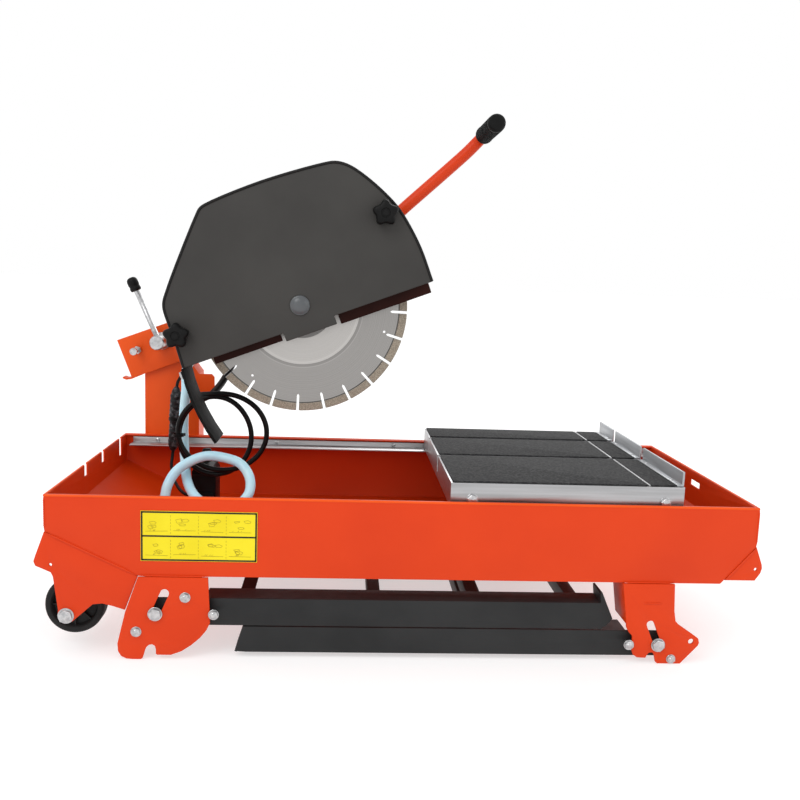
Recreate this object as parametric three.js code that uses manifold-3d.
// Bench masonry saw: a folded-sheet water tray on two folding leg frames, a rolling table on
// two rails, and a motor head with a segmented blade that tilts on a post behind the tray.
// Millimetres. +X runs along the tray, +Y to the back where the post stands, +Z up.
import * as THREE from "three";
import { mergeVertices } from "three/addons/utils/BufferGeometryUtils.js";
import Module from "manifold-3d";

const wasm = await Module();
wasm.setup();

// ---------------------------------------------------------------- driving dimensions
const SHEET = 3;
const PLATE = 4;
const GAP = 0.4;

const TRAY = {
  left: -535, right: 535, halfWidth: 247, top: 248.5, bottom: 128,
  foldLeft: 194, foldRight: 188, flatLeft: -400, flatRight: 483,
};

const RAIL = { x0: -518, x1: 518, wall: 243.4, web: 3.4, z0: 226, z1: 244, ledge0: 206, ledgeZ: 234.5 };

const POST = { x0: -497, x1: -391, y0: 250.5, y1: 312, z0: 140, shoulder: 372, wall: 4 };

const PIVOT = { x: -461, z: 436, r: 9.9, lug: 25 };
const HEAD_TILT = THREE.MathUtils.degToRad(21);

const ARM = { x0: -82, x1: 420, y0: 240, y1: 322, z0: -49, z1: 30, wall: 4 };
const BLADE = { x: 297, z: -20, r: 175, bore: 10.12, y: -34, thick: 3.2, count: 24, slot: 28, slotWide: 4 };
const MOTOR = { r: 75, cowl: 79, y0: 15.6, y1: 239.4 };
const GUARD = { front: -82, seam: -42, back: 14, wall: 3 };

// outline of the guard seen square on, in the head's own frame
const GUARD_OUTLINE = [
  [84, -50], [87, -2], [88, 45], [90.5, 56], [97, 67], [192, 173.5], [199, 179.5], [208, 182.5],
  [305, 188], [412, 182], [426, 179.2], [438, 173], [452, 160], [476, 125], [497, 83], [505, 54],
  [512, 7], [513, -50],
];

const TABLE = {
  x0: 61, x1: 421, half: 232, top: 275.5, skirt: 237, sheet: 2.5, grooves: [-33, 131],
  grooveHalf: 6, grooveFloor: 248, padTop: 278.1, fenceTop: 299,
};
const ROLLER = { r: 15.9, bore: 4.15, axle: 4, y: 219, half: 7, z: 250.5, xs: [94, 392] };

const WHEEL = { x: -506, z: 65, r: 45, y: 190, half: 15, bore: 6.2, axle: 6 };

const LEG = { y: 239, wall: 3.5, flange: 45 };
const LEFT_LEG = { px: -375, pz: 71, stud: 86, x0: -397, x1: 305, z0: 50, z1: 92 };
const RIGHT_LEG = { px: 391, pz: 30, stud: 46, x0: -243, x1: 412, z0: 8, z1: 48 };

const CORD_NODES = new Set([
  "water_hose", "hose_top", "pump_lead_upper", "pump_lead_lower", "pump_connector",
  "cable_coil",
]);

// ---------------------------------------------------------------- materials
const paint = (color, roughness = 0.45, metalness = 0) =>
  new THREE.MeshStandardMaterial({ color, roughness, metalness });

const ORANGE = paint(0xe0481a);
const DARK = paint(0x3a3a3a, 0.5);
const GREY = paint(0x4b4846, 0.6);
const BLACK = paint(0x161616, 0.6);
const RUBBER = paint(0x2a2a2c, 0.85);
const ZINC = paint(0xc4c6c8, 0.3, 1);
const ALUMINIUM = paint(0xbfc2c5, 0.35, 1);
const STEEL = paint(0xaeb0b2, 0.32, 1);
const YELLOW = paint(0xf2c719, 0.5);
const CLEAR = paint(0xcfe0ea, 0.2);

// ---------------------------------------------------------------- geometry helpers
const toSolid = (geometry) => {
  const bare = geometry.clone();
  for (const name of Object.keys(bare.attributes)) {
    if (name !== "position") {
      bare.deleteAttribute(name);
    }
  }
  const welded = mergeVertices(bare, 1e-4);
  const mesh = new wasm.Mesh({
    numProp: 3,
    vertProperties: new Float32Array(welded.attributes.position.array),
    triVerts: new Uint32Array(welded.index.array),
  });
  mesh.merge();
  return new wasm.Manifold(mesh);
};

const toGeometry = (solid) => {
  const mesh = solid.getMesh();
  const geometry = new THREE.BufferGeometry();
  geometry.setAttribute("position", new THREE.BufferAttribute(new Float32Array(mesh.vertProperties), 3));
  geometry.setIndex(new THREE.BufferAttribute(new Uint32Array(mesh.triVerts), 1));
  geometry.computeVertexNormals();
  return geometry;
};

const join = (...parts) => toGeometry(parts.map(toSolid).reduce((a, b) => a.add(b)));

const cut = (base, ...tools) => toGeometry(tools.map(toSolid).reduce((a, b) => a.subtract(b), toSolid(base)));

const polygon = (points, holes = []) => {
  const shape = new THREE.Shape(points.map(([a, b]) => new THREE.Vector2(a, b)));
  for (const hole of holes) {
    shape.holes.push(new THREE.Path(hole.map(([a, b]) => new THREE.Vector2(a, b))));
  }
  return shape;
};

const ALONG_X = new THREE.Matrix4().set(0, 0, 1, 0, 1, 0, 0, 0, 0, 1, 0, 0, 0, 0, 0, 1);

// a profile in X and Z, from one Y to another
const slabY = (points, y0, y1, holes = []) => {
  const options = { depth: y1 - y0, bevelEnabled: false, curveSegments: 12 };
  const geometry = new THREE.ExtrudeGeometry(polygon(points, holes), options);
  return geometry.rotateX(Math.PI / 2).translate(0, y1, 0);
};

// a profile in Y and Z, from one X to another
const slabX = (points, x0, x1) => {
  const options = { depth: x1 - x0, bevelEnabled: false };
  const geometry = new THREE.ExtrudeGeometry(polygon(points), options);
  return geometry.applyMatrix4(ALONG_X).translate(x0, 0, 0);
};

const box = (x0, x1, y0, y1, z0, z1) =>
  new THREE.BoxGeometry(x1 - x0, y1 - y0, z1 - z0)
    .translate((x0 + x1) / 2, (y0 + y1) / 2, (z0 + z1) / 2);

const rod = (x, z, r, y0, y1, sides = 24) =>
  new THREE.CylinderGeometry(r, r, y1 - y0, sides).translate(x, (y0 + y1) / 2, z);

// turned shape about a line along Y, from pairs of radius and Y
const turned = (x, z, profile, sides = 28) =>
  new THREE.LatheGeometry(profile.map(([r, y]) => new THREE.Vector2(r, y)), sides).translate(x, 0, z);

const circle = (x, z, r, sides = 20) =>
  Array.from({ length: sides }, (_, i) => {
    const a = (2 * Math.PI * i) / sides;
    return [x + r * Math.cos(a), z + r * Math.sin(a)];
  });

const arc = (x, z, r, fromDeg, toDeg, steps) =>
  Array.from({ length: steps + 1 }, (_, i) => {
    const a = THREE.MathUtils.degToRad(fromDeg + ((toDeg - fromDeg) * i) / steps);
    return [x + r * Math.cos(a), z + r * Math.sin(a)];
  });

const slot = (ax, az, bx, bz, r) => {
  const along = THREE.MathUtils.radToDeg(Math.atan2(bz - az, bx - ax));
  return [...arc(bx, bz, r, along - 90, along + 90, 8), ...arc(ax, az, r, along + 90, along + 270, 8)];
};

const sweep = (points, r, steps, sides = 12) => {
  const path = new THREE.CatmullRomCurve3(points.map((p) => new THREE.Vector3(...p)), false, "centripetal");
  const ring = Array.from({ length: sides }, (_, i) => {
    const a = (2 * Math.PI * i) / sides;
    return new THREE.Vector2(r * Math.cos(a), r * Math.sin(a));
  });
  return new THREE.ExtrudeGeometry(new THREE.Shape(ring), { steps, bevelEnabled: false, extrudePath: path });
};

// carries the two lowest points of an outline down to a lower level, along their own sides
const openBelow = (points, z) => {
  const last = points.length - 1;
  const extend = ([x1, z1], [x0, z0]) => [x0 + ((x0 - x1) * (z - z0)) / (z0 - z1), z];
  const open = points.slice();
  open[0] = extend(points[1], points[0]);
  open[last] = extend(points[last - 1], points[last]);
  return open;
};

// moves each side of a convex outline inwards
const inset = (points, d) => {
  const n = points.length;
  const lines = points.map(([x, z], i) => {
    const [x2, z2] = points[(i + 1) % n];
    const length = Math.hypot(x2 - x, z2 - z);
    const nx = (z2 - z) / length;
    const nz = -(x2 - x) / length;
    return [x + nx * d, z + nz * d, (x2 - x) / length, (z2 - z) / length];
  });
  return lines.map(([x, z, dx, dz], i) => {
    const [px, pz, qx, qz] = lines[(i + n - 1) % n];
    const t = ((x - px) * dz - (z - pz) * dx) / (qx * dz - qz * dx);
    return [px + qx * t, pz + qz * t];
  });
};

const mirrorY = (geometry) => {
  const solid = toSolid(geometry).mirror([0, 1, 0]);
  return toGeometry(solid);
};

// from the head's own frame to the saw's
const onHead = (geometry) => geometry.rotateY(-HEAD_TILT).translate(PIVOT.x, 0, PIVOT.z);

const headPoint = (x, y, z) => [
  PIVOT.x + x * Math.cos(HEAD_TILT) - z * Math.sin(HEAD_TILT),
  y,
  PIVOT.z + x * Math.sin(HEAD_TILT) + z * Math.cos(HEAD_TILT),
];

const domeBolt = (x, z, r, face, shank, length) =>
  turned(x, z, [
    [0, face - 6], [r * 0.55, face - 5.4], [r * 0.88, face - 3.6], [r, face - 1.4], [r, face],
    [shank, face], [shank, face + length], [0, face + length],
  ], 16);

// ---------------------------------------------------------------- tray and what is fixed to it
const trayOutline = (d) => [
  [TRAY.left + d, TRAY.top + 20 * Math.sign(d)],
  [TRAY.left + d, TRAY.foldLeft + 0.63 * d],
  [TRAY.flatLeft + 0.23 * d, TRAY.bottom + d],
  [TRAY.flatRight - 0.42 * d, TRAY.bottom + d],
  [TRAY.right - d, TRAY.foldRight + 0.33 * d],
  [TRAY.right - d, TRAY.top + 20 * Math.sign(d)],
];

const tray = () => {
  const w = TRAY.halfWidth;
  const shell = cut(
    slabY(trayOutline(0), -w, w),
    slabY(trayOutline(SHEET), -w + SHEET, w - SHEET),
  );
  const lips = [-1, 1].map((side) => {
    const y = side * (w - SHEET - 2);
    return box(TRAY.left + 1, TRAY.right - 1, y - 4, y + 4, TRAY.top - SHEET, TRAY.top);
  });
  const notches = [[-38, 20], [70, 20], [196, 34]].map(([y, deep]) =>
    box(TRAY.left - 5, TRAY.left + 8, y - 9, y + 9, TRAY.top - deep, TRAY.top + 5));
  const overflow = box(TRAY.right - 8, TRAY.right + 5, -18, 24, 222, 232);
  return cut(join(shell, ...lips), ...notches, overflow);
};

const WHEEL_PLATE = [
  [-535.4, 193.3], [-549, 156], [-551.6, 148], [-549, 141], [-527, 131.5], [-524, 125], [-517.5, 74],
  [-518, 66], [-514, 57], [-506, 53], [-497, 56], [-467, 83], [-453, 84.5], [-439, 81], [-420, 75],
  [-401, 127.3], [-401.6, 127.9],
];

const wheelBracket = () => slabY(WHEEL_PLATE, -246.4, -242.4, [
  circle(WHEEL.x, WHEEL.z, WHEEL.bore),
  circle(-527, 143, 2.4, 12),
]);

const LEFT_BRACKET = [
  [-400, 127.5], [-419, 73], [-430.5, 24], [-429.5, 12], [-425, 4.5], [-417, 0.8], [-408, 0], [-396, 0],
  [-393.5, 2], [-390, 14], [-388, 19], [-384, 22.6], [-379.5, 23.4], [-375.5, 21], [-374, 16],
  [-374, 8.5], [-372, 7], [-352, 7], [-336, 13], [-322, 22.5], [-309, 34], [-299.5, 46], [-294.5, 57],
  [-295, 76], [-297.5, 127.5],
];

const RIGHT_BRACKET = [
  [330, 127.5], [340, 57], [344, 50], [350, 44], [350, 22], [353, 14], [359, 9.6], [366, 9], [373, 9],
  [375, 14], [378, 17.4], [383, 17.8], [386.4, 14], [389, 2.4], [392, 0], [428, 0], [454, 29],
  [456, 34], [454, 41], [444, 48], [421, 63.5], [416, 69], [413, 85], [410.5, 127.5],
];

const leftLegBracket = () => {
  const holes = [slot(LEFT_LEG.px, LEFT_LEG.pz, -361, 103, 6.5)];
  const plate = slabY(LEFT_BRACKET, -250.4, -246.6, holes);
  const bolts = [[-331, 97], [-403, 43]].map(([x, z]) => domeBolt(x, z, 6.2, -250, 4, 8));
  return join(plate, ...bolts);
};

const rightLegBracket = () => {
  const holes = [slot(RIGHT_LEG.px, RIGHT_LEG.pz, 377, 63, 6), circle(443, 36, 4.5, 14)];
  const plate = slabY(RIGHT_BRACKET, -250.4, -246.6, holes);
  const flange = slabY([[330, 127.4], [333.6, 127.4], [342.5, 63], [339, 63]], -249, -192);
  return join(plate, flange, domeBolt(413, 7.5, 5.6, -250, 4, 8));
};

const liftingEar = () => slabY(
  [[535.6, 187.4], [546, 160], [547, 154], [545, 146], [537, 134], [489.2, 134]],
  -246.4, -242.4, [circle(537, 152, 2.6, 14)],
);

const rail = () => slabX([
  [RAIL.wall - RAIL.web, RAIL.z0], [RAIL.wall, RAIL.z0], [RAIL.wall, RAIL.z1],
  [RAIL.wall - RAIL.web, RAIL.z1], [RAIL.wall - RAIL.web, RAIL.ledgeZ], [RAIL.ledge0, RAIL.ledgeZ],
  [RAIL.ledge0, RAIL.ledgeZ - 2.5], [RAIL.wall - RAIL.web, RAIL.ledgeZ - 2.5],
], RAIL.x0, RAIL.x1);

const post = () => {
  const outline = [
    [POST.x0, POST.z0], [POST.x1, POST.z0], [POST.x1, POST.shoulder], [PIVOT.x + 31, 424],
    ...arc(PIVOT.x, PIVOT.z, PIVOT.lug, 0, 180, 12), [POST.x0, 402],
  ];
  const body = slabY(outline, POST.y0, POST.y1, [circle(PIVOT.x, PIVOT.z, 10.15, 32)]);
  const hollow = box(POST.x0 + 4, POST.x1 - 4, POST.y0 + 4, POST.y1 - 4, POST.z0 - 5, POST.shoulder - 4);
  const foot = box(POST.x0 + 10, POST.x1 - 10, TRAY.halfWidth + GAP, POST.y0 + 2, POST.z0, 226);
  const ear = slabY([
    [-392, 321], [-365, 323], [-360, 328], [-361, 366], [-366, 371.5], [-392, 371.5],
  ], POST.y0, POST.y0 + 4);
  return join(cut(body, hollow), foot, ear);
};

const wheelAxle = () => {
  const y = 246.4;
  return turned(WHEEL.x, WHEEL.z, [
    [0, -y - 7], [6, -y - 6.4], [9, -y - 4.6], [9.6, -y - 0.3], [WHEEL.axle, -y - 0.3],
    [WHEEL.axle, y + 0.3], [9.6, y + 0.3], [9, y + 4.6], [6, y + 6.4], [0, y + 7],
  ], 24);
};

const transportWheel = (side) => {
  const h = WHEEL.half;
  const profile = [
    [WHEEL.bore, -h], [14, -h], [15, -h + 3], [33, -h + 3.5], [35, -h], [WHEEL.r - 4, -h],
    [WHEEL.r, -h + 4], [WHEEL.r, h - 4], [WHEEL.r - 4, h], [35, h], [33, h - 3.5], [15, h - 3],
    [14, h], [WHEEL.bore, h], [WHEEL.bore, -h],
  ];
  return turned(WHEEL.x, WHEEL.z, profile, 32).translate(0, side * WHEEL.y, 0);
};

const labelPlate = () => box(-396, -226, -248.3, -247.3, 152, 228);

const pump = () => {
  const housing = slabY([
    [-375, 131.4], [-332, 131.4], [-332, 214], [-337, 224], [-345, 228], [-362, 228], [-370, 224],
    [-375, 214],
  ], 70, 128);
  const outlet = new THREE.CylinderGeometry(7, 9, 26, 16).rotateX(Math.PI / 2).translate(-353, 104, 238);
  const intake = box(-371, -336, 64, 72, 140, 176);
  return join(housing, outlet, intake);
};

// ---------------------------------------------------------------- leg frames
const legBar = (leg, footward) => {
  const end = leg.x1 > 400 ? leg.x1 : leg.x0;
  const face = -LEG.y;
  const tipTop = footward > 0 ? leg.x1 : leg.x0;
  const rounded = footward > 0
    ? [[tipTop, leg.z1], [leg.x0 + 12, leg.z1], [leg.x0 + 3, leg.z1 - 7], [leg.x0, leg.pz],
      [leg.x0 + 3, leg.z0 + 7], [leg.x0 + 12, leg.z0], [tipTop, leg.z0]]
    : [[tipTop, leg.z0], [end - 12, leg.z0], [end - 3, leg.z0 + 7], [end, leg.pz],
      [end - 3, leg.z1 - 7], [end - 12, leg.z1], [tipTop, leg.z1]];
  const web = slabY(rounded, face, face + LEG.wall);
  const run0 = footward > 0 ? leg.px + 72 : tipTop;
  const run1 = footward > 0 ? tipTop : leg.px - 48;
  const flange = box(run0, run1, face, face + LEG.flange, leg.z1 - LEG.wall, leg.z1);
  const foot = footward > 0
    ? slabY([[301, 92], [299, 108], [302, 109], [320.5, 67], [317.5, 66], [305, 92]], face, face + LEG.flange)
    : slabY([[-243, 48], [-246.5, 48], [-259, 9], [-255.5, 8], [-243, 46]], face, face + LEG.flange);
  const heel = footward > 0 ? box(295, 304, face, face + LEG.flange, 88.6, 92) : box(-244, -238, face, face + LEG.flange, 44.6, 48);
  const toStud = footward > 0 ? leg.stud : -leg.stud;
  const bolts = [
    domeBolt(leg.px, leg.pz, 8.4, -250.9, 5.2, 14),
    domeBolt(leg.px + toStud, leg.pz, 6.2, -250.9, 3.8, 14),
  ];
  const gusset = footward > 0
    ? slabY([[301, 92], [299.5, 107], [302, 109], [320.5, 67], [312, 56], [301, 50]], face, face + LEG.wall)
    : slabY([[-240, 48], [-246.5, 48], [-259, 9], [-240, 8]], face, face + LEG.wall);
  return join(web, flange, foot, heel, gusset, ...bolts);
};

const crossbar = (x, top) => {
  const y = LEG.y - LEG.wall - GAP;
  const z = top - LEG.wall - GAP;
  return slabY([[x + 11, z], [x - 11, z], [x - 11, z - 24], [x - 8, z - 24], [x - 8, z - 3], [x + 11, z - 3]], -y, y);
};

// ---------------------------------------------------------------- rolling table
const tableFrame = () => {
  const s = TABLE.sheet;
  const h = TABLE.half;
  const under = (d) => {
    const points = [[-h + d, TABLE.skirt - (d ? 10 : 0)], [-h + d, TABLE.top - d]];
    for (const y of TABLE.grooves) {
      const g = TABLE.grooveHalf + d;
      points.push([y - g, TABLE.top - d], [y - g, TABLE.grooveFloor - d], [y + g, TABLE.grooveFloor - d],
        [y + g, TABLE.top - d]);
    }
    points.push([h - d, TABLE.top - d], [h - d, TABLE.skirt - (d ? 10 : 0)]);
    return points.reverse();
  };
  const folded = cut(slabX(under(0), TABLE.x0, TABLE.x1), slabX(under(s), TABLE.x0 + s, TABLE.x1 - s));
  const axles = [];
  for (const x of ROLLER.xs) {
    for (const side of [-1, 1]) {
      const bolt = domeBolt(x, ROLLER.z, 7.5, -h, ROLLER.axle, 24);
      axles.push(side < 0 ? bolt : mirrorY(bolt));
    }
  }
  return join(folded, ...axles);
};

const tablePad = (y0, y1) => box(TABLE.x0 + 3, 409, y0, y1, TABLE.top + 0.3, TABLE.padTop);

const fence = (y0, y1) => {
  const lip = box(409.6, 420.6, y0, y1, TABLE.top + 0.3, TABLE.top + 3);
  return join(lip, box(417.4, 420.6, y0, y1, TABLE.top + 0.3, TABLE.fenceTop));
};

const roller = (x, side) => {
  const h = ROLLER.half;
  return turned(x, ROLLER.z, [
    [ROLLER.bore, -h], [ROLLER.r - 1.5, -h], [ROLLER.r, -h + 1.5], [ROLLER.r, h - 1.5],
    [ROLLER.r - 1.5, h], [ROLLER.bore, h], [ROLLER.bore, -h],
  ], 24).translate(0, side * ROLLER.y, 0);
};

// ---------------------------------------------------------------- head
const armChannel = () => {
  const { x0, x1, y0, y1, z0, z1, wall } = ARM;
  const profile = [
    [y0, z0], [y0 + wall, z0], [y0 + wall, z1 - wall], [y1 - wall, z1 - wall], [y1 - wall, z0],
    [y1, z0], [y1, z1], [y0, z1],
  ];
  const channel = slabX(profile, x0, x1);
  const end = box(x1 - wall, x1, y0, y1, z0, z1);
  const bore = rod(0, 0, 10.12, y0 - 5, y1 + 5, 32);
  return onHead(cut(join(channel, end), bore));
};

const motor = () => {
  const { r, cowl, y0, y1 } = MOTOR;
  const can = turned(BLADE.x, BLADE.z, [
    [0, y0], [46, y0], [62, y0 + 8], [72, y0 + 16], [r, y0 + 22], [r, y1 - 52], [cowl, y1 - 48],
    [cowl, y1 - 8], [cowl - 8, y1], [0, y1],
  ], 32);
  const terminal = box(BLADE.x - 38, BLADE.x + 38, 78, 168, BLADE.z + r - 12, BLADE.z + r + 34);
  return onHead(join(can, terminal));
};

const guardCover = () => {
  const { front, seam, wall } = GUARD;
  const hollow = openBelow(inset(GUARD_OUTLINE, wall), -80);
  const shell = cut(slabY(GUARD_OUTLINE, front, seam), slabY(hollow, front + wall, seam + 5));
  const face = box(86, 511, front, front + wall, -50, -40);
  const tab = box(256.5, 343.5, front, front + wall, -64, -45);
  const strips = [[134, 250.5, -61.5], [349.5, 506, -67]].flatMap(([x0, x1, z]) => [
    box(x0, x1, front + 1, front + 15, -50, -47.4),
    box(x0, x1, front + 12.4, front + 15, z, -48),
  ]);
  return onHead(join(shell, face, tab, ...strips));
};

const guardBack = () => {
  const { back, wall } = GUARD;
  const outer = inset(GUARD_OUTLINE, wall + GAP);
  const hollow = openBelow(inset(GUARD_OUTLINE, 2 * wall + GAP), -80);
  const shell = cut(slabY(outer, -60, back), slabY(hollow, -65, back - wall));
  return onHead(cut(shell, rod(BLADE.x, BLADE.z, 24, back - 10, back + 5, 24)));
};

const guardCap = () => {
  const y = GUARD.front - GAP;
  return onHead(turned(BLADE.x, BLADE.z + 4, [
    [0, y - 7], [6, y - 6.6], [11, y - 5.2], [14.5, y - 3], [16, y], [0, y],
  ], 24));
};

const starKnob = (x, z) => {
  const y = GUARD.front - GAP;
  const outline = Array.from({ length: 40 }, (_, i) => {
    const a = (2 * Math.PI * i) / 40;
    const r = 18.4 + 3.4 * Math.cos(5 * a);
    return [x + r * Math.cos(a), z + r * Math.sin(a)];
  });
  return onHead(join(
    slabY(outline, y - 20, y - 6),
    slabY(outline.map(([a, b]) => [x + (a - x) * 0.86, z + (b - z) * 0.86]), y - 22.5, y - 4),
    rod(x, z, 8, y - 8, y, 16),
  ));
};

const handleTube = () => {
  const points = [
    [398, 239, 6], [398, 225, 6], [404, 190, 14], [440, 125, 44], [482, 88, 66], [520, 76, 82],
    [600, 75, 114], [655, 75, 136.5], [678, 72, 147.5], [689.5, 60, 153.4], [689.5, 52.8, 153.4],
  ].map(([x, y, z]) => headPoint(x, y, z));
  return sweep(points, 10.5, 44, 12);
};

const handleGrip = () => onHead(turned(689.5, 153.4, [
  [0, -86], [10, -85], [14, -81], [14.6, -72], [13.2, -66], [14.6, -40], [14.8, -12], [14.6, 16],
  [13.4, 42], [15.4, 46], [15.4, 52], [0, 52],
], 20));

const stopScrew = () => onHead(turned(-50, -1, [
  [0, 196], [6.2, 196], [7, 198], [7, 204], [4, 204], [4, ARM.y0 - GAP], [0, ARM.y0 - GAP],
], 14));

const splashFlap = () => onHead(slabY([
  [80, -50.6], [76.6, -78], [76, -104], [78, -132], [82, -160], [87.5, -184], [92, -183],
  [86.5, -159], [82.4, -132], [80.4, -104], [80.8, -78], [84, -50.6],
].reverse(), -78, 4));

const cableBoot = () => {
  const points = [
    [160, 239.2, -24], [160, 228, -24], [148, 180, -56], [128, 140, -82], [104, 96, -106],
    [88, 62, -116],
  ].map(([x, y, z]) => headPoint(x, y, z));
  return sweep(points, 6.5, 22, 10);
};

const lockLever = () => {
  const boss = turned(0, 0, [
    [0, 186], [12, 186], [14, 188], [14, 232], [17, 234], [17, ARM.y0 - GAP], [PIVOT.r, ARM.y0 - GAP],
    [PIVOT.r, ARM.y1 + 12], [0, ARM.y1 + 12],
  ], 32);
  const arm = new THREE.CylinderGeometry(5.2, 5.2, 96, 14)
    .rotateX(Math.PI / 2)
    .rotateY(THREE.MathUtils.degToRad(-3))
    .translate(-2.8, 212, 57);
  return onHead(join(boss, arm));
};

const leverCap = () => {
  const profile = [[0, 0], [9, 0], [10.4, 2], [10.4, 20], [8.5, 24.5], [4, 26.5], [0, 27]]
    .map(([r, h]) => new THREE.Vector2(r, h));
  return onHead(new THREE.LatheGeometry(profile, 18)
    .rotateX(Math.PI / 2)
    .rotateY(THREE.MathUtils.degToRad(-3))
    .translate(-5.4, 212, 105.6));
};

// ---------------------------------------------------------------- blade and spindle
const blade = () => {
  const { x, z, r, y, thick, count, slot: deep, slotWide } = BLADE;
  const points = [];
  for (let i = 0; i < count; i += 1) {
    const mid = (2 * Math.PI * i) / count;
    const half = Math.PI / count;
    const gapAt = (radius) => Math.asin(slotWide / 2 / radius);
    const place = (radius, a) => points.push([x + radius * Math.cos(a), z + radius * Math.sin(a)]);
    place(r - deep, mid - half);
    place(r - deep + 3, mid - half + gapAt(r - deep + 3));
    place(r, mid - half + gapAt(r));
    place(r, mid - half / 3);
    place(r, mid + half / 3);
    place(r, mid + half - gapAt(r));
    place(r - deep + 3, mid + half - gapAt(r - deep + 3));
  }
  const holes = [circle(x, z, BLADE.bore, 32)];
  for (const deg of [-36.4, -145.4, 84]) {
    const a = THREE.MathUtils.degToRad(deg);
    holes.push(circle(x + 143 * Math.cos(a), z + 143 * Math.sin(a), 2.1, 10));
  }
  return onHead(slabY(points, y - thick / 2, y + thick / 2, holes));
};

const spindle = () => onHead(turned(BLADE.x, BLADE.z, [
  [0, -62], [8, -62], [9.9, -60], [9.9, -32.1], [44, -32.1], [45, -30], [45, -27], [20, -23],
  [20, 15], [0, 15],
], 32));

const outerFlange = () => {
  const hex = circle(BLADE.x, BLADE.z, 17, 6);
  const bore = circle(BLADE.x, BLADE.z, BLADE.bore, 32);
  return onHead(join(
    slabY(circle(BLADE.x, BLADE.z, 45, 32), -41, -35.9, [bore]),
    slabY(hex, -55, -40, [bore]),
  ));
};

// ---------------------------------------------------------------- hose, lead and stored cable
const hoseTop = () => sweep([
  headPoint(106, 34, -28), headPoint(92, 52, -30), [-386, 74, 396], [-387, 80, 380], [-387, 80, 372.6],
], 8.6, 14, 10);

const waterHose = () => sweep([
  [-387, 80, 371.8], [-387, 80, 362], [-390, 82, 335], [-392, 82, 300], [-390, 78, 262], [-385, 60, 236],
  [-374, 22, 206], [-352, -12, 186], [-318, -34, 176], [-286, -36, 178], [-263, -26, 198],
  [-262, -10, 222], [-280, 8, 244], [-310, 20, 252], [-342, 22, 254], [-370, 18, 244],
  [-392, 8, 228], [-404, -4, 206], [-408, -10, 184],
], 8.6, 72, 10);

const cableCoil = () => {
  const profile = Array.from({ length: 11 }, (_, i) => {
    const a = (2 * Math.PI * i) / 10;
    return new THREE.Vector2(62 + 10 * Math.cos(a), 9 * Math.sin(a));
  });
  return new THREE.LatheGeometry(profile, 32).scale(1, 1, 1.04).translate(-316, 42, 288);
};

const pumpConnector = () => {
  const profile = [[0, 0], [6, 0], [9, 6], [10.5, 20], [9.4, 62], [11, 70], [11, 104], [7, 122], [0, 126]]
    .map(([r, h]) => new THREE.Vector2(r, h));
  return new THREE.LatheGeometry(profile, 14).rotateX(Math.PI / 2)
    .rotateY(THREE.MathUtils.degToRad(3)).translate(-431, 190, 227);
};

const pumpLeadUpper = () => sweep([
  [-414, 250, 381], [-415, 236, 380], [-418, 214, 374], [-422, 196, 363], [-424, 190, 353.8],
], 3, 14, 8);

const pumpLeadLower = () => sweep([
  [-431.2, 190, 226], [-432, 187, 214], [-430, 170, 196], [-419, 142, 180], [-402, 112, 168],
  [-388, 98, 164], [-375.6, 96, 163],
], 3, 22, 8);

// ---------------------------------------------------------------- assembly
const saw = new THREE.Group();
saw.name = "bench_masonry_saw";

const add = (name, geometry, material) => {
  const mesh = new THREE.Mesh(geometry, material);
  mesh.name = name;
  saw.add(mesh);
};

const addPair = (name, geometry, material) => {
  add(`${name}_front`, geometry, material);
  add(`${name}_back`, mirrorY(geometry), material);
};

add("tray", tray(), ORANGE);
addPair("wheel_bracket", wheelBracket(), ORANGE);
addPair("left_leg_bracket", leftLegBracket(), ORANGE);
addPair("right_leg_bracket", rightLegBracket(), ORANGE);
addPair("lifting_ear", liftingEar(), ORANGE);
add("rail_back", rail(), ALUMINIUM);
add("rail_front", mirrorY(rail()), ALUMINIUM);
add("post", post(), ORANGE);
add("label_plate", labelPlate(), YELLOW);
add("wheel_axle", wheelAxle(), ZINC);
add("transport_wheel_front", transportWheel(-1), BLACK);
add("transport_wheel_back", transportWheel(1), BLACK);
add("pump", pump(), BLACK);

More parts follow.
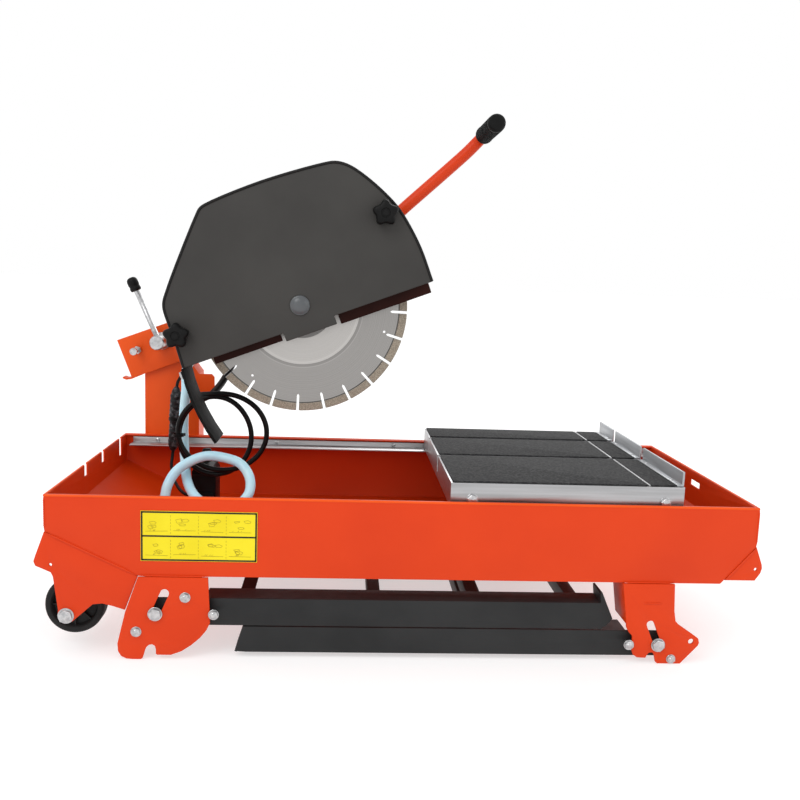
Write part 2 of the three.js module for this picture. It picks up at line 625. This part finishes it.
addPair("left_leg_bar", legBar(LEFT_LEG, 1), DARK);
add("left_leg_crossbar_near", crossbar(-245, LEFT_LEG.z1), DARK);
add("left_leg_crossbar_far", crossbar(109, LEFT_LEG.z1), DARK);
addPair("right_leg_bar", legBar(RIGHT_LEG, -1), DARK);
add("right_leg_crossbar_near", crossbar(298, RIGHT_LEG.z1), DARK);
add("right_leg_crossbar_middle", crossbar(112, RIGHT_LEG.z1), DARK);
add("right_leg_crossbar_far", crossbar(-44, RIGHT_LEG.z1), DARK);

add("table_frame", tableFrame(), ALUMINIUM);
const BANDS = [["front", -229, -41], ["middle", -25, 123], ["rear", 139, 229]];
for (const [name, y0, y1] of BANDS) {
  add(`pad_${name}`, tablePad(y0, y1), RUBBER);
  add(`fence_${name}`, fence(y0, y1), ALUMINIUM);
}
for (const side of [-1, 1]) {
  ROLLER.xs.forEach((x, i) => {
    add(`roller_${side < 0 ? "front" : "back"}_${i ? "right" : "left"}`, roller(x, side), RUBBER);
  });
}

add("head_arm", armChannel(), ORANGE);
add("motor", motor(), GREY);
add("guard_cover", guardCover(), GREY);
add("guard_back", guardBack(), GREY);
add("guard_cap", guardCap(), GREY);
add("knob_upper", starKnob(475, 77), BLACK);
add("knob_lower", starKnob(95.5, 3), BLACK);
add("handle_tube", handleTube(), ORANGE);
add("handle_grip", handleGrip(), BLACK);
add("stop_screw", stopScrew(), ZINC);
add("splash_flap", splashFlap(), RUBBER);
add("cable_boot", cableBoot(), BLACK);
add("lock_lever", lockLever(), ZINC);
add("lever_cap", leverCap(), BLACK);

add("blade", blade(), STEEL);
add("spindle", spindle(), STEEL);
add("outer_flange", outerFlange(), STEEL);

add("hose_top", hoseTop(), CLEAR);
add("water_hose", waterHose(), CLEAR);
add("cable_coil", cableCoil(), BLACK);
add("pump_connector", pumpConnector(), BLACK);
add("pump_lead_upper", pumpLeadUpper(), BLACK);
add("pump_lead_lower", pumpLeadLower(), BLACK);

// the origin is the middle of the base of everything but the loose cords
const bounds = new THREE.Box3();
for (const mesh of saw.children) {
  if (!CORD_NODES.has(mesh.name)) {
    bounds.expandByObject(mesh);
  }
}
const centre = bounds.getCenter(new THREE.Vector3());
for (const mesh of saw.children) {
  mesh.geometry.translate(-centre.x, -centre.y, -bounds.min.z);
}

export default saw;
